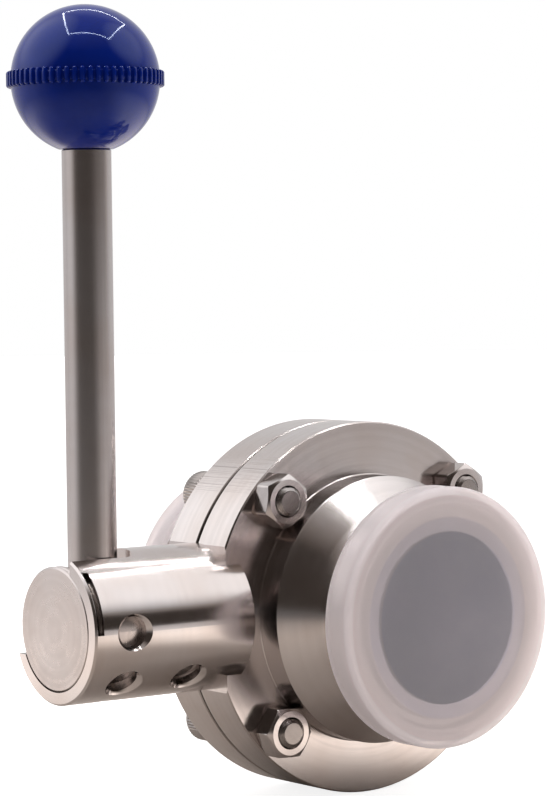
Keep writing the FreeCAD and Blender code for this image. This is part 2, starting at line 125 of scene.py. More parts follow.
def ring_faces(below, above):
    """Faces between two rings of vertex numbers, either of which may be a single point."""
    count = max(len(below), len(above))
    faces = []
    for k in range(count):
        n = (k + 1) % count
        if len(below) == 1:
            faces.append((below[0], above[n], above[k]))
        elif len(above) == 1:
            faces.append((below[k], below[n], above[0]))
        else:
            faces.append((below[k], below[n], above[n], above[k]))
    return faces


def turned_piece(name, rows, origin, axis, spokes, loop=False, sharp_degrees=SHARP_DEGREES):
    """Skin over rings. A row is (distance along the axis, radius). Either may differ from spoke to
    spoke. With loop, the last ring joins the first."""
    verts, rings = [], []
    for row in rows:
        points = ring_points(row, origin, axis, spokes)
        rings.append(list(range(len(verts), len(verts) + len(points))))
        verts.extend(points)
    pairs = list(zip(rings, rings[1:]))
    if loop:
        pairs.append((rings[-1], rings[0]))
    faces = [face for below, above in pairs for face in ring_faces(below, above)]
    return new_mesh_piece(name, verts, faces, sharp_degrees)


def even_spokes(count):
    return np.arange(count) * 2 * math.pi / count


def blocks(*parts):
    """One list of rows from several, in order."""
    return [row for part in parts for row in part]


def arc(along, radius, size, start, end, steps):
    """Rows on a round of this size about a middle, from start to end degrees: 0 outwards, 90 along."""
    rows = []
    for k in range(steps + 1):
        turn = math.radians(start + (end - start) * k / steps)
        rows.append((along + size * math.sin(turn), radius + size * math.cos(turn)))
    return rows


def shifted(along, radius, offsets):
    """Rows about one place. The offsets are in mm, along the axis and outwards."""
    return [(along + forward * MM, radius + out * MM) for forward, out in offsets]


def smooth_step(low, high, values):
    t = np.clip((values - low) / (high - low), 0, 1)
    return t * t * (3 - 2 * t)


# ---- ball knob ----------------------------------------------------------------
KNOB_R = 15 * MM
KNOB_BAND_R = extent("ball_knob").x / 2
KNOB_BAND_HALF = 1.65 * MM
KNOB_TEETH = 62
KNOB_TOOTH_DEPTH = 0.6 * MM
KNOB_TOOTH_ROUND = 0.4            # how much lower the band is between two teeth
KNOB_TOOTH_FLANK = (0.12, 0.78)   # start and end of a tooth's flank, as parts of its wave
KNOB_TOOTH_SPOKES = 10
KNOB_TOP_DEGREES = 87             # first ring below the pole
KNOB_ROWS_ABOVE = 29
KNOB_ROWS_BELOW = 30
KNOB_GAP = 0.02 * MM
BAND_EDGE = ((0.0, 0.0), (0.02, 0.45), (0.09, 0.72), (0.22, 0.9), (0.42, 1.0))   # drop in mm, part out


def knob_band(spokes):
    """Rows of the serrated band, from its upper edge to its lower edge."""
    tooth = smooth_step(*KNOB_TOOTH_FLANK, 0.5 + 0.5 * np.cos(spokes * KNOB_TEETH))
    half = KNOB_BAND_HALF * (1 - KNOB_TOOTH_ROUND * (1 - tooth))
    root = np.sqrt(KNOB_R ** 2 - half ** 2)
    step = KNOB_BAND_R - KNOB_TOOTH_DEPTH * (1 - tooth) - root
    upper = [(half - drop * MM, root + step * part) for drop, part in BAND_EDGE]
    return upper + [(-along, radius) for along, radius in reversed(upper)]


def ball_knob():
    """Moulded ball with a flat at the rod, its band serrated for grip, hollow where the insert sits."""
    spokes = even_spokes(KNOB_TEETH * KNOB_TOOTH_SPOKES)
    low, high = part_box("ball_knob")
    centre = Vector(((low.x + high.x) / 2, (low.y + high.y) / 2, high.z - KNOB_R))
    edge = math.degrees(math.asin(KNOB_BAND_HALF / KNOB_R))
    flat_at = low.z - centre.z
    flat = math.degrees(math.asin(flat_at / KNOB_R))
    hole_r = extent("knob_insert").x / 2 + KNOB_GAP
    hole_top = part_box("knob_insert")[1].z + KNOB_GAP - centre.z
    rows = blocks([(KNOB_R, 0)], arc(0, 0, KNOB_R, KNOB_TOP_DEGREES, edge, KNOB_ROWS_ABOVE),
                  knob_band(spokes), arc(0, 0, KNOB_R, -edge, flat, KNOB_ROWS_BELOW),
                  [(flat_at, hole_r), (hole_top, hole_r), (hole_top, 0)])
    return turned_piece("ball_knob_shell", rows, centre, Z_AXIS, spokes)


# ---- nuts ---------------------------------------------------------------------
HEAD_R = 5 * MM
BOLT_OUT = extent("flange_bolts").y / 2 - HEAD_R
BOLT_PLACES = ((-1, 1), (1, 1), (-1, -1), (1, -1))   # sides in Y and Z
BOLT_R = 3 * MM
NUT_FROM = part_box("flange_nuts")[0].x
NUT_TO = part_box("flange_nuts")[1].x
NUT_TURNS = (23, 26, 58, 15)      # degrees, one for each bolt
NUT_SPOKES = 144
NUT_HALF_FLATS = 5 * MM
NUT_CORNER_R = 5.7 * MM
NUT_INNER_CORNER_R = 5.4 * MM     # the corner next to the drum is taken down a little more
NUT_INNER_SIDE = 0.7              # cosine of the half angle that counts as next to the drum
NUT_FACE_R = 4.6 * MM
NUT_CHAMFER = math.tan(math.radians(30))
NUT_CHAMFER_EXTRA = 0.04 * MM
NUT_SINK_R = 3.3 * MM
NUT_SINK_DEPTH = 1.1 * MM
NUT_BORE_R = BOLT_R + 0.03 * MM
NUT_SHARP_DEGREES = 18
# Offsets for shifted() that soften the nut's edges.
SEAT_EDGE = ((-0.03, -0.05), (0.04, 0.0))
SIDE_EDGE = ((-0.05, 0.0), (0.03, -0.06))
FACE_EDGE = ((-0.05, 0.06), (0.0, -0.04))
SINK_EDGE = ((0.0, 0.05), (-0.06, -0.02))


def hexagon_radius(spokes, half_flats, corner_at):
    """Distance out to a hexagon along each spoke; corner_at is the direction of one corner."""
    past_flat = np.mod(spokes - corner_at, math.pi / 3) - math.pi / 6
    return half_flats / np.cos(past_flat)


def bolt_centre(side_y, side_z):
    return Vector((0, side_y * BOLT_OUT, side_z * BOLT_OUT))


def hex_nut(name, side_y, side_z, corner_degrees):
    """Hexagon nut, chamfered at both faces and countersunk at the thread."""
    corner_at = math.radians(corner_degrees)
    spokes = even_spokes(NUT_SPOKES) + corner_at
    inward = math.atan2(-side_z, -side_y)
    limit = np.where(np.cos(spokes - inward) > NUT_INNER_SIDE, NUT_INNER_CORNER_R, NUT_CORNER_R)
    outer = np.minimum(hexagon_radius(spokes, NUT_HALF_FLATS, corner_at), limit)
    drop = (outer - NUT_FACE_R) * NUT_CHAMFER + NUT_CHAMFER_EXTRA
    rows = blocks([(NUT_FROM, NUT_BORE_R), (NUT_FROM, NUT_FACE_R)],
                  shifted(NUT_FROM + drop, outer, SEAT_EDGE), shifted(NUT_TO - drop, outer, SIDE_EDGE),
                  shifted(NUT_TO, NUT_FACE_R, FACE_EDGE), shifted(NUT_TO, NUT_SINK_R, SINK_EDGE),
                  [(NUT_TO - NUT_SINK_DEPTH, NUT_BORE_R)])
    return turned_piece(name, rows, bolt_centre(side_y, side_z), X_AXIS, spokes, loop=True,
                        sharp_degrees=NUT_SHARP_DEGREES)


# ---- cap screws ---------------------------------------------------------------
HEAD_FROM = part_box("flange_bolts")[0].x
HEAD_TO = -NUT_FROM
STUD_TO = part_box("flange_bolts")[1].x
THREAD_ROOT_R = 2.45 * MM
THREAD_PITCH = 1 * MM
THREAD_LENGTH = 4 * MM
THREAD_ROWS = 56
THREAD_FLANK = 1.55               # slope of a thread's flank, and how far its root is cut flat
THREAD_ROOT_FLAT = 0.15
STUD_FLAT_R = 2.15 * MM
STUD_CHAMFER = 1.35
STUD_CHAMFER_EXTRA = 0.12 * MM
SOCKET_HALF_FLATS = 2.5 * MM
SOCKET_TURN = 0.3
SOCKET_DEPTH = 3 * MM
SOCKET_CHAMFER = 0.2 * MM
SHANK_CLEAR = 0.01 * MM
SHANK_FROM = HEAD_TO + 0.1 * MM
KNURLS = 48
KNURL_SPOKES = 6
KNURL_DEPTH = 0.22 * MM
KNURL_FROM = 0.8 * MM             # from the head's face, and from the flange
KNURL_TO = 1.2 * MM
SCREW_SHARP_DEGREES = 40
# Offsets for shifted() that round the head's two ends.
HEAD_FACE_EDGE = ((0.0, -0.75), (0.1, -0.5), (0.5, -0.3))
HEAD_SEAT_EDGE = ((-0.9, -0.3), (-0.1, -0.35), (0.0, -0.5))


def thread_rows(spokes):
    """A cut thread that fades in from the shank and runs out over the chamfered end."""
    rows = []
    for k in range(THREAD_ROWS + 1):
        along = STUD_TO - THREAD_LENGTH + THREAD_LENGTH * k / THREAD_ROWS
        turn = np.mod(along / THREAD_PITCH - spokes / FULL_TURN, 1.0)
        crest = np.clip(THREAD_FLANK * (1 - np.abs(2 * turn - 1)) - THREAD_ROOT_FLAT, 0, 1)
        fade = min(1.0, (along - STUD_TO + THREAD_LENGTH) / THREAD_PITCH)
        radius = BOLT_R - (BOLT_R - THREAD_ROOT_R) * fade * (1 - crest)
        chamfer = STUD_FLAT_R + STUD_CHAMFER_EXTRA + (STUD_TO - along) * STUD_CHAMFER
        rows.append((along, np.minimum(radius, chamfer)))
    return rows


def screw_head(spokes):
    """Rows from the bottom of the hexagon socket, over the knurled head, to the flange."""
    socket = hexagon_radius(spokes, SOCKET_HALF_FLATS, SOCKET_TURN)
    ridge = HEAD_R - KNURL_DEPTH * (0.5 + 0.5 * np.cos(spokes * KNURLS))
    return blocks([(HEAD_FROM + SOCKET_DEPTH, 0), (HEAD_FROM + SOCKET_DEPTH, socket),
                   (HEAD_FROM + SOCKET_CHAMFER, socket), (HEAD_FROM, socket + SOCKET_CHAMFER)],
                  shifted(HEAD_FROM, HEAD_R, HEAD_FACE_EDGE),
                  [(HEAD_FROM + KNURL_FROM, ridge), (HEAD_TO - KNURL_TO, ridge)],
                  shifted(HEAD_TO, HEAD_R, HEAD_SEAT_EDGE), [(HEAD_TO, BOLT_R + SHANK_CLEAR)])


def cap_screw(name, side_y, side_z):
    """Socket screw with a knurled head, its threaded end standing out of the nut."""
    spokes = even_spokes(KNURLS * KNURL_SPOKES)
    rows = blocks(screw_head(spokes), [(SHANK_FROM, BOLT_R)], thread_rows(spokes),
                  [(STUD_TO, STUD_FLAT_R), (STUD_TO, 0)])
    return turned_piece(name, rows, bolt_centre(side_y, side_z), X_AXIS, spokes,
                        sharp_degrees=SCREW_SHARP_DEGREES)


# ---- plunger spring -----------------------------------------------------------
SPRING_WIRE_R = 0.4 * MM
SPRING_TURNS = 4
SPRING_STEPS = 36
SPRING_SIDES = 12
PLUNGER_LIFT = 1.05 * MM          # how far the plunger's collar can rise from rest


def plunger_spring():
    """Coil spring under the gland, left short enough for the collar to rise below it."""
    low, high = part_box("rod_spring")
    centre = middle("rod_spring")
    mean_r = extent("rod_spring").x / 2 - SPRING_WIRE_R
    bottom = low.z + SPRING_WIRE_R + PLUNGER_LIFT
    rise = high.z - SPRING_WIRE_R - bottom
    count = SPRING_TURNS * SPRING_STEPS
    verts, faces = [], []
    for k in range(count + 1):
        turn = FULL_TURN * k / SPRING_STEPS
        out = Vector((math.cos(turn), math.sin(turn), 0))
        for n in range(SPRING_SIDES):
            round_wire = FULL_TURN * n / SPRING_SIDES
            reach = out * (mean_r + SPRING_WIRE_R * math.cos(round_wire))
            lift = bottom + rise * k / count + SPRING_WIRE_R * math.sin(round_wire)
            verts.append(Vector((centre.x, centre.y, lift)) + reach)
    rings = [list(range(SPRING_SIDES * k, SPRING_SIDES * (k + 1))) for k in range(count + 1)]
    for below, above in zip(rings, rings[1:]):
        faces.extend(ring_faces(below, above))
    faces.append(tuple(rings[0]))
    faces.append(tuple(reversed(rings[-1])))
    return new_mesh_piece("plunger_spring", verts, faces)


# ---- push-on end caps ---------------------------------------------------------
CAP_WALL = 1.5 * MM
CAP_FACE = 1.25 * MM
CAP_ROUND = 1.0 * MM
CAP_ROUND_STEPS = 8
CAP_DISH = 0.12 * MM
CAP_SKIRT_FROM = 2.2 * MM
CAP_SPOKES = 256
CAP_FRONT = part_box("front_cap")[1].x
# Offsets for shifted(): the dished face, the mouth outside and inside, and the corner inside.
DISH_ROWS = ((0.0, 0.0), (0.0, 4.0), (0.0, 12.0), (0.0, 23.3), (0.04, 23.6), (0.11, 24.0), (0.12, 24.3))
BEAD_ROWS = ((1.7, -0.2), (1.3, -0.2), (1.1, -0.1), (0.9, 0.0), (0.3, 0.0), (0.08, -0.08), (0.0, -0.3))
MOUTH_ROWS = ((0.0, 0.35), (0.35, 0.0))
INSIDE_CORNER = ((-0.4, 0.0), (-0.1, -0.1), (0.0, -0.4))


def end_cap(name, node, side):
    """Thin moulded cup: a faint dish in its face, a rounded front edge and a bead at the mouth."""
    low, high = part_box(node)
    outer = extent(node).y / 2
    front = max(abs(low.x), abs(high.x))
    mouth = min(abs(low.x), abs(high.x))
    inner = outer - CAP_WALL
    rows = blocks(shifted(front - CAP_DISH, 0, DISH_ROWS),
                  arc(front - CAP_ROUND, outer - CAP_ROUND, CAP_ROUND, 90, 0, CAP_ROUND_STEPS),
                  [(front - CAP_SKIRT_FROM, outer)],
                  shifted(mouth, outer, BEAD_ROWS), shifted(mouth, inner, MOUTH_ROWS),
                  shifted(front - CAP_FACE, inner, INSIDE_CORNER), [(front - CAP_FACE, 0)])
    return turned_piece(name, rows, ORIGIN, X_AXIS * side, even_spokes(CAP_SPOKES))


# ---- node trees ---------------------------------------------------------------
CLOUD_RANGE = (0.3, 0.7)
SMALLEST_RADIUS = 1e-6


class Nodes:
    """A node tree, with short ways to add and join its nodes."""

    def __init__(self, tree):
        self.tree = tree

    def node(self, kind, **settings):
        made = self.tree.nodes.new(kind)
        for key, value in settings.items():
            setattr(made, key, value)
        return made

    def set(self, socket, value):
        """Links a socket to an input, or gives the input a fixed value."""
        if isinstance(value, bpy.types.NodeSocket):
            self.tree.links.new(value, socket)
        else:
            socket.default_value = value

    def fill(self, made, *values):
        """Sets a node's first inputs, in order, and returns its first output."""
        for socket, value in zip(made.inputs, values):
            self.set(socket, value)
        return made.outputs[0]

    def calc(self, operation, *values):
        return self.fill(self.node("ShaderNodeMath", operation=operation), *values)

    def join(self, x, y, z):
        return self.fill(self.node("ShaderNodeCombineXYZ"), x, y, z)

    def dot(self, vector, direction):
        """How far a vector reaches along a fixed direction."""
        made = self.node("ShaderNodeVectorMath", operation="DOT_PRODUCT")
        self.set(made.inputs[0], vector)
        made.inputs[1].default_value = direction
        return made.outputs["Value"]

    def noise(self, vector, scale, detail=2.0, roughness=0.5):
        made = self.node("ShaderNodeTexNoise")
        self.set(made.inputs["Vector"], vector)
        made.inputs["Scale"].default_value = scale
        made.inputs["Detail"].default_value = detail
        made.inputs["Roughness"].default_value = roughness
        return made.outputs["Fac"]

    def span(self, value, from_low, from_high, to_low, to_high, ease="LINEAR"):
        """Turns one range of values into another and holds it at both ends."""
        made = self.node("ShaderNodeMapRange", interpolation_type=ease)
        return self.fill(made, value, from_low, from_high, to_low, to_high)

    def window(self, value, rise, fall):
        """1 from the end of rise to the start of fall, 0 outside both."""
        rising = self.span(value, *rise, 0.0, 1.0)
        return self.calc("MULTIPLY", rising, self.span(value, *fall, 1.0, 0.0))

    def mix(self, part, low, high):
        """Colour between low and high."""
        made = self.node("ShaderNodeMix", data_type="RGBA")
        self.set(made.inputs["Factor"], part)
        self.set(made.inputs["A"], low)
        self.set(made.inputs["B"], high)
        return made.outputs["Result"]

    def shader(self, kind, colour):
        """A simple shader of one colour."""
        made = self.node(kind)
        made.inputs["Color"].default_value = colour
        return made

    def blend(self, part, low, high):
        """Shader between low and high."""
        return self.fill(self.node("ShaderNodeMixShader"), part, low, high)

    def camera_ray(self):
        """1 for what the camera sees directly, 0 for what reflects or lights."""
        return self.node("ShaderNodeLightPath").outputs["Is Camera Ray"]


class Finish(Nodes):
    """A material, with its surface shader and where each point is and faces."""

    def __init__(self, name):
        self.material = bpy.data.materials.new(name)
        self.material.use_nodes = True
        super().__init__(self.material.node_tree)
        self.surface = self.tree.nodes["Principled BSDF"]
        coordinates = self.node("ShaderNodeTexCoord")
        self.place = coordinates.outputs["Object"]
        self.facing = coordinates.outputs["Normal"]

    def give(self, name, value):
        """Sets an input of the surface shader."""
        self.set(self.surface.inputs[name], value)

    def bump(self, height, distance, after=None):
        made = self.node("ShaderNodeBump")
        made.inputs["Strength"].default_value = 1.0
        made.inputs["Distance"].default_value = distance
        self.set(made.inputs["Height"], height)
        if after is not None:
            self.set(made.inputs["Normal"], after)
        return made.outputs["Normal"]

    def cloud(self, scale):
        """A soft mottle from 0 to 1."""
        return self.noise(self.place, scale, 3.0)

    def cloudy(self, cloud, low, high):
        """Value between low and high, by the mottle."""
        return self.span(cloud, *CLOUD_RANGE, low, high)

    def about(self, axis, centre=ORIGIN):
        """(along, radius, cosine, sine) of each point about an axis through centre."""
        shift = self.node("ShaderNodeVectorMath", operation="SUBTRACT")
        self.set(shift.inputs[0], self.place)
        shift.inputs[1].default_value = centre
        parts = self.node("ShaderNodeSeparateXYZ")
        self.set(parts.inputs[0], shift.outputs[0])
        x, y, z = parts.outputs
        along, a, b = {"X": (x, y, z), "Y": (y, z, x), "Z": (z, x, y)}[axis]
        square = self.calc("ADD", self.calc("MULTIPLY", a, a), self.calc("MULTIPLY", b, b))
        radius = self.calc("SQRT", square)
        safe = self.calc("MAXIMUM", radius, SMALLEST_RADIUS)
        return along, radius, self.calc("DIVIDE", a, safe), self.calc("DIVIDE", b, safe)


# ---- turned steel -------------------------------------------------------------
STEEL = (0.64, 0.6, 0.592)
STAINED = (0.94, 0.9, 0.87)               # what a stain leaves of each colour
RING_TINT = (0.33, 0.3, 0.29, 1)
# Painted shade in the chatter streaks, darkest on the crown.
PAINTED_STREAK_SHADE = (0.24, 0.22, 0.21, 1)
JOINT_TINT = (0.05, 0.045, 0.04, 1)
# Painted shade for the walls inside a bore and its holes.
PAINTED_INNER_SHADE = (0.1, 0.085, 0.075, 1)
LINE_NOISE = (9000, 3.0, 0.6)             # scale per metre, detail, roughness
RING_NOISE = (700, 2.0)
STAIN_NOISE = (60, 3.0, 0.55)
MARK_NOISE = (260, 4.0, 0.6)
STREAK_NOISE = (150, 3.0, 0.7)
STREAK_DRAWN_OUT = 0.12                   # share of the way along that the streak noise sees
# where the streaks start and stop being painted darker
STREAK_SHADE_RANGE = (0.02, 0.2)
STREAK_BUMP = 6e-5
LINE_BUMP = 1e-6
SIDE_LEAN = (0.15, 0.5)                   # a wall's normal leans less than this along the axis
CONE_LEAN = (0.3, 0.5), (0.85, 0.95)      # and a cone's normal between these
CONE_ROUGHER = 0.04
CROWN = (0.62, 0.68), (0.8, 0.86)         # sines of the places round the wall where the streaks, with their relief and their painted shade, are strong
OFF_CROWN = 0.12                          # strength of the streaks elsewhere
JOINT_RADIUS = (30 * MM, 31 * MM)
JOINT_FADE = 0.1 * MM
INNER_SHADE_FADE = 0.3 * MM
SPIN_TURN = 0.25


class TurnedSteel(Finish):
    """Stainless steel off a lathe, with the fields that its colour and roughness are made of."""

    def __init__(self, name, axis, centre):
        super().__init__(name)
        self.along, self.radius, self.cos, self.sin = self.about(axis, centre)
        self.lean = self.calc("ABSOLUTE", self.dot(self.facing, AXES[axis]))
        self.side = self.span(self.lean, *SIDE_LEAN, 1.0, 0.0)
        self.profile = self.join(self.along, self.radius, 0.0)
        self.rings = self.noise(self.profile, *RING_NOISE)

    def streaks(self):
        """Short marks across the rings, as a chattering cutter leaves them, strongest on the crown. Their
        relief is real; the darker colour they get is painted shade.
        """
        crown = self.calc("MAXIMUM", self.window(self.sin, *CROWN), OFF_CROWN)
        drawn = self.join(self.cos, self.sin, self.calc("MULTIPLY", self.along, STREAK_DRAWN_OUT))
        uneven = self.calc("SUBTRACT", self.noise(drawn, *STREAK_NOISE), 0.5)
        return self.calc("MULTIPLY", uneven, self.calc("MULTIPLY", self.side, crown))

    def base(self, colour, rings):
        """Colour with faint stains, darker in some of the rings."""
        stained = tuple(c * left for c, left in zip(colour, STAINED)) + (1,)
        stain = self.span(self.noise(self.place, *STAIN_NOISE), 0.4, 0.7, 0, 1)
        tint = self.mix(stain, colour + (1,), stained)
        return self.mix(self.span(self.rings, 0.35, 0.65, 0, rings), tint, RING_TINT)

    def joint(self, half):
        """1 in the narrow gap between the two flanges, near their edge."""
        gap = self.span(self.calc("ABSOLUTE", self.along), half, half + JOINT_FADE, 1.0, 0.0)
        return self.calc("MULTIPLY", gap, self.span(self.radius, *JOINT_RADIUS, 0.0, 1.0))

    def inside(self, wall):
        """1 on walls closer to the axis than this, where shade is painted inside a bore or hole."""
        return self.calc("MULTIPLY", self.span(self.radius, wall - INNER_SHADE_FADE, wall, 1.0, 0.0), self.side)

    def roughness(self, rough, mottle, rings):
        """Uneven by marks and rings, and a little higher on cones."""
        marks = self.span(self.noise(self.place, *MARK_NOISE), 0.3, 0.75, -mottle, mottle)
        uneven = self.calc("ADD", marks, self.span(self.rings, 0.3, 0.7, -rings / 5, rings / 4))
        cone = self.window(self.lean, *CONE_LEAN)
        return self.calc("ADD", uneven, self.calc("MULTIPLY_ADD", cone, CONE_ROUGHER, rough))


def turned_steel(name, axis, centre=ORIGIN, colour=STEEL, rough=0.2, line=0.3, spin=0.6, streaks=0.0,
                 mottle=0.02, rings=0.16, joint_half=0.0, inner_shade_radius=0.0):
    """line is the height of the finest rings in microns, spin how far the shine is drawn out across
    them, and streaks, mottle and rings are strengths; streaks also sets how dark the streaks are painted.
    joint_half is half the dark gap between the flanges, and walls within inner_shade_radius of the axis
    get painted shade, standing for the shade inside a bore or hole."""
    f = TurnedSteel(name, axis, centre)
    tint = f.base(colour, rings)
    normal = f.bump(f.noise(f.profile, *LINE_NOISE), line * LINE_BUMP)
    if streaks:
        marks = f.streaks()
        # Painted shade: the streaks are also darkened in colour, on top of their bumped relief.
        tint = f.mix(f.span(marks, *STREAK_SHADE_RANGE, 0, streaks), tint, PAINTED_STREAK_SHADE)
        normal = f.bump(marks, streaks * STREAK_BUMP, normal)
    if joint_half:
        tint = f.mix(f.joint(joint_half), tint, JOINT_TINT)
    # Painted shade on the walls inside the bore and holes.
    if inner_shade_radius:
        tint = f.mix(f.inside(inner_shade_radius), tint, PAINTED_INNER_SHADE)
    f.give("Base Color", tint)
    f.give("Metallic", 1)
    f.give("Roughness", f.roughness(rough, mottle, rings))
    f.give("Normal", normal)
    f.give("Anisotropic", spin)
    f.give("Anisotropic Rotation", SPIN_TURN)
    f.give("Tangent", f.node("ShaderNodeTangent", direction_type="RADIAL", axis=axis).outputs[0])
    return f.material


# ---- plastics and plain finishes ----------------------------------------------
KNOB_BLUE = (0.002, 0.016, 0.22, 1), (0.003, 0.021, 0.27, 1)
KNOB_ROUGH = (0.05, 0.09)
KNOB_CLOUD = 160
KNOB_PEEL = 700
KNOB_PEEL_DEPTH = 4e-6
KNOB_IOR = 1.5
KNOB_SHINE = 0.4
KNOB_SHINE_TINT = (0.6, 0.72, 1, 1)

CAP_CLOUD = 120
CAP_CLEAR = (0.77, 0.79, 0.92, 1), (0.83, 0.85, 0.97, 1)
CAP_PALE = (0.88, 0.84, 0.845, 1)
CAP_OVER_RING = (17.5 * MM, 17.8 * MM, 0.0, 0.45)   # paler where the ferrule's face starts
CAP_OVER_RIM = (20.4 * MM, 20.9 * MM, 0.0, 0.55)    # and again where the ferrule falls away
CAP_ROUGH = 0.3
CAP_IOR = 1.35
CAP_THROUGH = 0.8
CAP_GLOW = (0.95, 0.9, 0.91, 1)
CAP_CHALK = (0.9, 0.86, 0.87, 1)
CAP_CHALK_PART = 0.4
CAP_MILK = (0.2, 0.1)                               # part of milk: more towards the rim, and everywhere
CAP_SCATTER = (0.95, 0.87, 0.89, 1)
CAP_SCATTER_LEVEL = (0.07, 0.005)
CAP_EDGE_LEVEL = 0.1
CAP_EDGE_RADIUS = (25.0 * MM, 25.5 * MM)
CAP_EDGE_FROM = (CAP_FRONT - 0.9 * MM, CAP_FRONT - 0.4 * MM)

PLAIN_CLOUD = 300
PLAIN_DARKER = 0.88
PLAIN_ROUGH_SPREAD = 0.05


def knob_plastic():
    """Glossy blue phenolic with a trace of orange peel."""
    f = Finish("knob_plastic")
    cloud = f.cloud(KNOB_CLOUD)
    f.give("Base Color", f.mix(f.cloudy(cloud, 0, 1), *KNOB_BLUE))
    f.give("Normal", f.bump(f.noise(f.place, KNOB_PEEL), KNOB_PEEL_DEPTH))
    f.give("Roughness", f.cloudy(cloud, *KNOB_ROUGH))
    f.give("IOR", KNOB_IOR)
    f.give("Specular IOR Level", KNOB_SHINE)
    f.give("Specular Tint", KNOB_SHINE_TINT)
    return f.material


def cap_plastic():
    """Milky polyethylene: clear enough to show what touches it, paler towards the thick rim. The light
    that scatters about in it is stood for by a faint glow, brighter at the front edge."""
    f = Finish("cap_plastic")
    along, radius = f.about("X")[:2]
    rim = f.calc("ADD", f.span(radius, *CAP_OVER_RING), f.span(radius, *CAP_OVER_RIM))
    clear = f.mix(f.cloudy(f.cloud(CAP_CLOUD), 0, 1), *CAP_CLEAR)
    f.give("Base Color", f.mix(rim, clear, CAP_PALE))
    f.give("Roughness", CAP_ROUGH)
    f.give("IOR", CAP_IOR)
    f.give("Transmission Weight", CAP_THROUGH)
    glow = f.shader("ShaderNodeBsdfTranslucent", CAP_GLOW)
    chalk = f.shader("ShaderNodeBsdfDiffuse", CAP_CHALK)
    milk = f.blend(CAP_CHALK_PART, glow.outputs[0], chalk.outputs[0])
    body = f.blend(f.calc("MULTIPLY_ADD", rim, *CAP_MILK), f.surface.outputs[0], milk)
    edge = f.calc("MULTIPLY", f.span(radius, *CAP_EDGE_RADIUS, 0.0, 1.0),
                  f.span(f.calc("ABSOLUTE", along), *CAP_EDGE_FROM, 0.0, 1.0))
    scatter = f.shader("ShaderNodeEmission", CAP_SCATTER)
    level = f.calc("MULTIPLY_ADD", rim, *CAP_SCATTER_LEVEL)
    f.set(scatter.inputs["Strength"], f.calc("MULTIPLY_ADD", edge, CAP_EDGE_LEVEL, level))
    lit = f.fill(f.node("ShaderNodeAddShader"), body, scatter.outputs[0])
    f.set(f.tree.nodes["Material Output"].inputs["Surface"], lit)
    return f.material


def plain(name, colour, rough, metallic=0.0):
    """A small hidden part's finish: one colour and roughness, both mottled."""
    f = Finish(name)
    cloud = f.cloud(PLAIN_CLOUD)
    darker = tuple(c * PLAIN_DARKER for c in colour) + (1,)
    f.give("Base Color", f.mix(f.cloudy(cloud, 0, 1), darker, colour + (1,)))
    f.give("Roughness", f.cloudy(cloud, rough - PLAIN_ROUGH_SPREAD, rough + PLAIN_ROUGH_SPREAD))
    f.give("Metallic", metallic)
    return f.material


body_steel = turned_steel("body_steel", "X", rough=0.17, spin=0.75, streaks=0.7, rings=0.08,
                          joint_half=0.25 * MM)
# The sleeve's bore and hole walls get painted shade.
sleeve_steel = turned_steel("sleeve_steel", "Y", rough=0.15, mottle=0.015, rings=0.04, line=0.15,
                            inner_shade_radius=15.1 * MM)
hub_steel = turned_steel("hub_steel", "Y", rough=0.3, colour=(0.61, 0.565, 0.555), spin=0.3, rings=0.1,
                         mottle=0.06)
rod_steel = turned_steel("rod_steel", "Z", middle("pull_rod"), rough=0.26, colour=(0.55, 0.515, 0.51),
                         spin=0.0, mottle=0.005, rings=0.03, line=0.05)
fastener_steel = turned_steel("fastener_steel", "X", rough=0.14, colour=(0.62, 0.58, 0.57), spin=0.0)
screw_steel = turned_steel("screw_steel", "X", rough=0.24, colour=(0.36, 0.335, 0.325), spin=0.0,
                           mottle=0.03)
disc_steel = turned_steel("disc_steel", "X")
spring_steel = plain("spring_steel", (0.6, 0.58, 0.56), 0.25, 1.0)
rubber = plain("seat_rubber", (0.02, 0.02, 0.022), 0.6)
bush = plain("bush_plastic", (0.85, 0.85, 0.82), 0.45)
brass = plain("insert_brass", (0.75, 0.55, 0.25), 0.3, 1.0)
blue = knob_plastic()
milky = cap_plastic()


# ---- finishes on the CAD nodes, and pieces in place of some -------------------
def wear(node, material):
    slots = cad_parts[node].data.materials
    slots.clear()
    slots.append(material)


def stand_for(piece, node, body, material):
    """piece takes the place of a CAD node, on that node's body, in this material."""
    piece.data.materials.append(material)
    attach(piece, body)
    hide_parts(node)


for node, material in {
    "body_front": body_steel, "body_rear": body_steel, "seat_ring": rubber, "valve_disc": disc_steel,
    "upper_bush": bush, "lower_bush": bush, "flange_bolts": screw_steel, "flange_nuts": fastener_steel,
    "handle_sleeve": sleeve_steel, "retaining_wire": spring_steel, "handle_hub": hub_steel,
    "grub_screw": spring_steel, "index_plunger": rod_steel, "pull_rod": rod_steel,
    "rod_spring": spring_steel, "spring_gland": hub_steel, "ball_knob": blue, "knob_insert": brass,
    "front_cap": milky, "rear_cap": milky,
}.items():
    wear(node, material)

stand_for(ball_knob(), "ball_knob", "pull_group", blue)
for number, (side_y, side_z) in enumerate(BOLT_PLACES):
    screw = cap_screw(f"cap_screw_{number + 1}", side_y, side_z)
    stand_for(screw, "flange_bolts", "valve_body", screw_steel)
    nut = hex_nut(f"hex_nut_{number + 1}", side_y, side_z, NUT_TURNS[number])
    stand_for(nut, "flange_nuts", "valve_body", fastener_steel)
stand_for(plunger_spring(), "rod_spring", "turning_group", spring_steel)
stand_for(end_cap("front_cap_moulding", "front_cap", 1), "front_cap", "front_cap", milky)
stand_for(end_cap("rear_cap_moulding", "rear_cap", -1), "rear_cap", "rear_cap", milky)


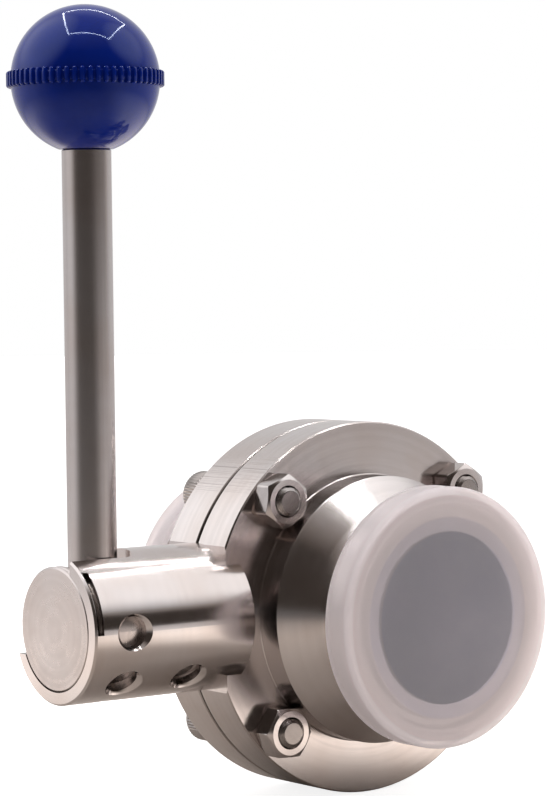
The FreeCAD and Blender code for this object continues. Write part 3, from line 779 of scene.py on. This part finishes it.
# ---- camera -------------------------------------------------------------------
BOX_LOW = Vector(CAD_BOX[0])
BOX_HIGH = Vector(CAD_BOX[1])
AIM = (BOX_LOW + BOX_HIGH) / 2 + Vector((1.5, 2.1, 1.8)) * MM
VIEW_AZIMUTH = math.radians(53.49)
VIEW_DROP = math.radians(2.21)
VIEW_ROLL = math.radians(-0.71)
VIEW_DISTANCE = 607 * MM
LENS = 190.1
SENSOR = 36
NEAREST = 0.01
TO_CAMERA = Vector((math.sin(VIEW_AZIMUTH), -math.cos(VIEW_AZIMUTH), 0))
SIDEWAYS = Vector((math.cos(VIEW_AZIMUTH), math.sin(VIEW_AZIMUTH), 0))


def add_camera():
    data = bpy.data.cameras.new("camera")
    data.lens = LENS
    data.sensor_fit = "HORIZONTAL"
    data.sensor_width = SENSOR
    data.clip_start = NEAREST
    camera = bpy.data.objects.new("camera", data)
    bpy.context.scene.collection.objects.link(camera)
    back = TO_CAMERA * math.cos(VIEW_DROP) + Z_AXIS * math.sin(VIEW_DROP)
    camera.location = AIM + back * VIEW_DISTANCE
    level = back.to_track_quat("Z", "Y").to_matrix()
    camera.rotation_euler = (level @ Matrix.Rotation(VIEW_ROLL, 3, "Z")).to_euler()
    bpy.context.scene.camera = camera


# ---- floor --------------------------------------------------------------------
FLOOR_RINGS = (0.0, 0.05, 0.12, 0.25, 0.5, 1.0, 2.0, 4.0)
FLOOR_SPOKES = 96
FLOOR_GRAIN = 30
FLOOR_WHITE = (0.5, 0.49, 0.48, 1), (0.54, 0.53, 0.52, 1)
FLOOR_SEEN_LEVEL = 0.85
FLOOR_ROUGH = 0.6
TABLE_CREAM = (0.5, 0.44, 0.39, 1)
TABLE_FAR = (0.03, 0.03, 0.03, 1)
TABLE_WARMTH = (1.0, 0.9, 0.82, 1), (1.0, 0.95, 0.94, 1)   # close by and far off
TABLE_AWAY = (0.15, 0.5, 0.0, 1.0)        # from close by to far off, by distance
TABLE_DIM_SIDE = TO_CAMERA * 0.966 - SIDEWAYS * 0.26
TABLE_DISTANT = (0.4, 0.85, 0.6, 0.1)     # glow far off, towards the dim side
TABLE_CLOSE = (0.1, 0.8, 1.6, 0.15)       # glow close by, towards the dim side
TABLE_SHADE = (0.06, 0.12, 0.03, 1.0)     # under the valve, by distance
TABLE_SHADE_SHIFT = 0.6                   # how far that shade leans to the left
TABLE_NEAREST = 1e-4                      # keeps the middle of the floor from a division by 0


def floor_finish():
    """Plain white to the camera. In reflections it is a lit table: shaded under the valve, dim on the
    camera's side, warm close by."""
    f = Finish("floor_white")
    white = f.mix(f.noise(f.place, FLOOR_GRAIN), *FLOOR_WHITE)
    seen = f.camera_ray()
    far = f.about("Z")[1]
    away = f.span(far, *TABLE_AWAY)
    dim_side = f.calc("DIVIDE", f.dot(f.place, TABLE_DIM_SIDE), f.calc("MAXIMUM", far, TABLE_NEAREST))
    shade_at = f.calc("MULTIPLY_ADD", f.dot(f.place, SIDEWAYS), TABLE_SHADE_SHIFT, far)
    close = f.calc("MULTIPLY", f.span(shade_at, *TABLE_SHADE), f.span(dim_side, *TABLE_CLOSE))
    close = f.calc("MULTIPLY", close, f.calc("SUBTRACT", 1.0, away))
    distant = f.calc("MULTIPLY", f.span(dim_side, *TABLE_DISTANT), away)
    level = f.calc("MAXIMUM", f.calc("ADD", close, distant), f.calc("MULTIPLY", seen, FLOOR_SEEN_LEVEL))
    f.give("Roughness", FLOOR_ROUGH)
    f.give("Base Color", f.mix(seen, f.mix(away, TABLE_CREAM, TABLE_FAR), white))
    f.give("Emission Color", f.mix(seen, f.mix(away, *TABLE_WARMTH), WHITE))
    f.give("Emission Strength", level)
    return f.material


def add_floor():
    rows = [(0, radius) for radius in FLOOR_RINGS]
    floor = turned_piece("floor", rows, Vector((0, 0, BOX_LOW.z)), Z_AXIS, even_spokes(FLOOR_SPOKES))
    floor.data.materials.append(floor_finish())


# ---- light --------------------------------------------------------------------
STRIP_LIFT = 0.45                 # metres above the ball
STRIP_LEFT = -0.35 * STRIP_LIFT
STRIP_RIGHT = 0.65 * STRIP_LIFT
STRIP_FRONT = 0.35 * STRIP_LIFT
STRIP_BACK = -0.8 * STRIP_LIFT
STRIP_WIDTH = 0.008
STRIP_WATTS = 0.35


def add_strip(name, centre, along):
    """Narrow lamp facing down, as long as the vector along."""
    data = bpy.data.lights.new(name, "AREA")
    data.shape = "RECTANGLE"
    data.size = along.length
    data.size_y = STRIP_WIDTH
    data.energy = STRIP_WATTS
    lamp = bpy.data.objects.new(name, data)
    bpy.context.scene.collection.objects.link(lamp)
    side = along.normalized()
    turn = Matrix((side, Z_AXIS.cross(side), Z_AXIS)).transposed().to_4x4()
    lamp.matrix_world = Matrix.Translation(centre) @ turn


def add_light():
    """A frame of four LED strips over the ball, which shows as an outline in its gloss."""
    over = middle("ball_knob") + Z_AXIS * STRIP_LIFT
    centre_across = over + SIDEWAYS * (STRIP_LEFT + STRIP_RIGHT) / 2
    centre_deep = over + TO_CAMERA * (STRIP_FRONT + STRIP_BACK) / 2
    across = SIDEWAYS * (STRIP_RIGHT - STRIP_LEFT)
    deep = TO_CAMERA * (STRIP_FRONT - STRIP_BACK)
    add_strip("strip_front", centre_across + TO_CAMERA * STRIP_FRONT, across)
    add_strip("strip_back", centre_across + TO_CAMERA * STRIP_BACK, across)
    add_strip("strip_left", centre_deep + SIDEWAYS * STRIP_LEFT, deep)
    add_strip("strip_right", centre_deep + SIDEWAYS * STRIP_RIGHT, deep)


# ---- surroundings -------------------------------------------------------------
# Each row of four: two cosines to a direction, then the brightness at the first and at the second.
TENT_BACK = (0.05, -0.5, 0.05, 0.75)
TENT_CEILING = (0.6, 0.95, 0.0, 0.5)
TENT_LEFT = (-0.8, -0.97, 0.0, 0.8)
TENT_BELOW = (-0.02, 0.0, 1.0, 0.0)
TENT_BELOW_FRONT = (0.25, 0.8, 0.8, 0.12)
LEFT_LAMP = (0.62, 0.93, 0.0, 1.5)
RIGHT_LAMP = (0.8, 0.98, 0.0, 1.4)
LAMP_SIDEWAYS = 0.72
LAMP_UP = 0.68
LAMP_BEHIND = 0.08
DARKS_GREEN = (0.0, 0.6, 0.8, 0.985)      # the darks are brown: less green, and less blue still
DARKS_BLUE = (0.0, 0.6, 0.68, 0.985)


def lamp_direction(side):
    """Direction of the soft lamp on the left (-1) or right (1)."""
    aim = SIDEWAYS * side * LAMP_SIDEWAYS + Z_AXIS * LAMP_UP - TO_CAMERA * LAMP_BEHIND
    return aim.normalized()


def add_world():
    """A light tent: white back and ceiling, an open dark front, two soft lamps at the sides. The camera
    itself sees plain white behind the object."""
    world = bpy.data.worlds.new("tent")
    world.use_nodes = True
    bpy.context.scene.world = world
    f = Nodes(world.node_tree)
    ray = f.node("ShaderNodeTexCoord").outputs["Generated"]
    front, up, right = (f.dot(ray, direction) for direction in (TO_CAMERA, Z_AXIS, SIDEWAYS))
    below = f.calc("MULTIPLY", f.span(up, *TENT_BELOW), f.span(front, *TENT_BELOW_FRONT))
    parts = [f.span(up, *TENT_CEILING), f.span(right, *TENT_LEFT),
             f.span(f.dot(ray, lamp_direction(-1)), *LEFT_LAMP, "SMOOTHSTEP"),
             f.span(f.dot(ray, lamp_direction(1)), *RIGHT_LAMP, "SMOOTHSTEP"), below]
    light = f.span(front, *TENT_BACK)
    for part in parts:
        light = f.calc("MAXIMUM", light, part)
    green = f.calc("MULTIPLY", light, f.span(light, *DARKS_GREEN))
    blue_part = f.calc("MULTIPLY", light, f.span(light, *DARKS_BLUE))
    tent = f.tree.nodes["Background"]
    f.set(tent.inputs["Color"], f.join(light, green, blue_part))
    white = f.shader("ShaderNodeBackground", WHITE)
    shown = f.blend(f.camera_ray(), tent.outputs[0], white.outputs[0])
    f.set(f.tree.nodes["World Output"].inputs["Surface"], shown)


add_camera()
add_floor()
add_light()
add_world()
bpy.context.scene.view_settings.view_transform = "Standard"
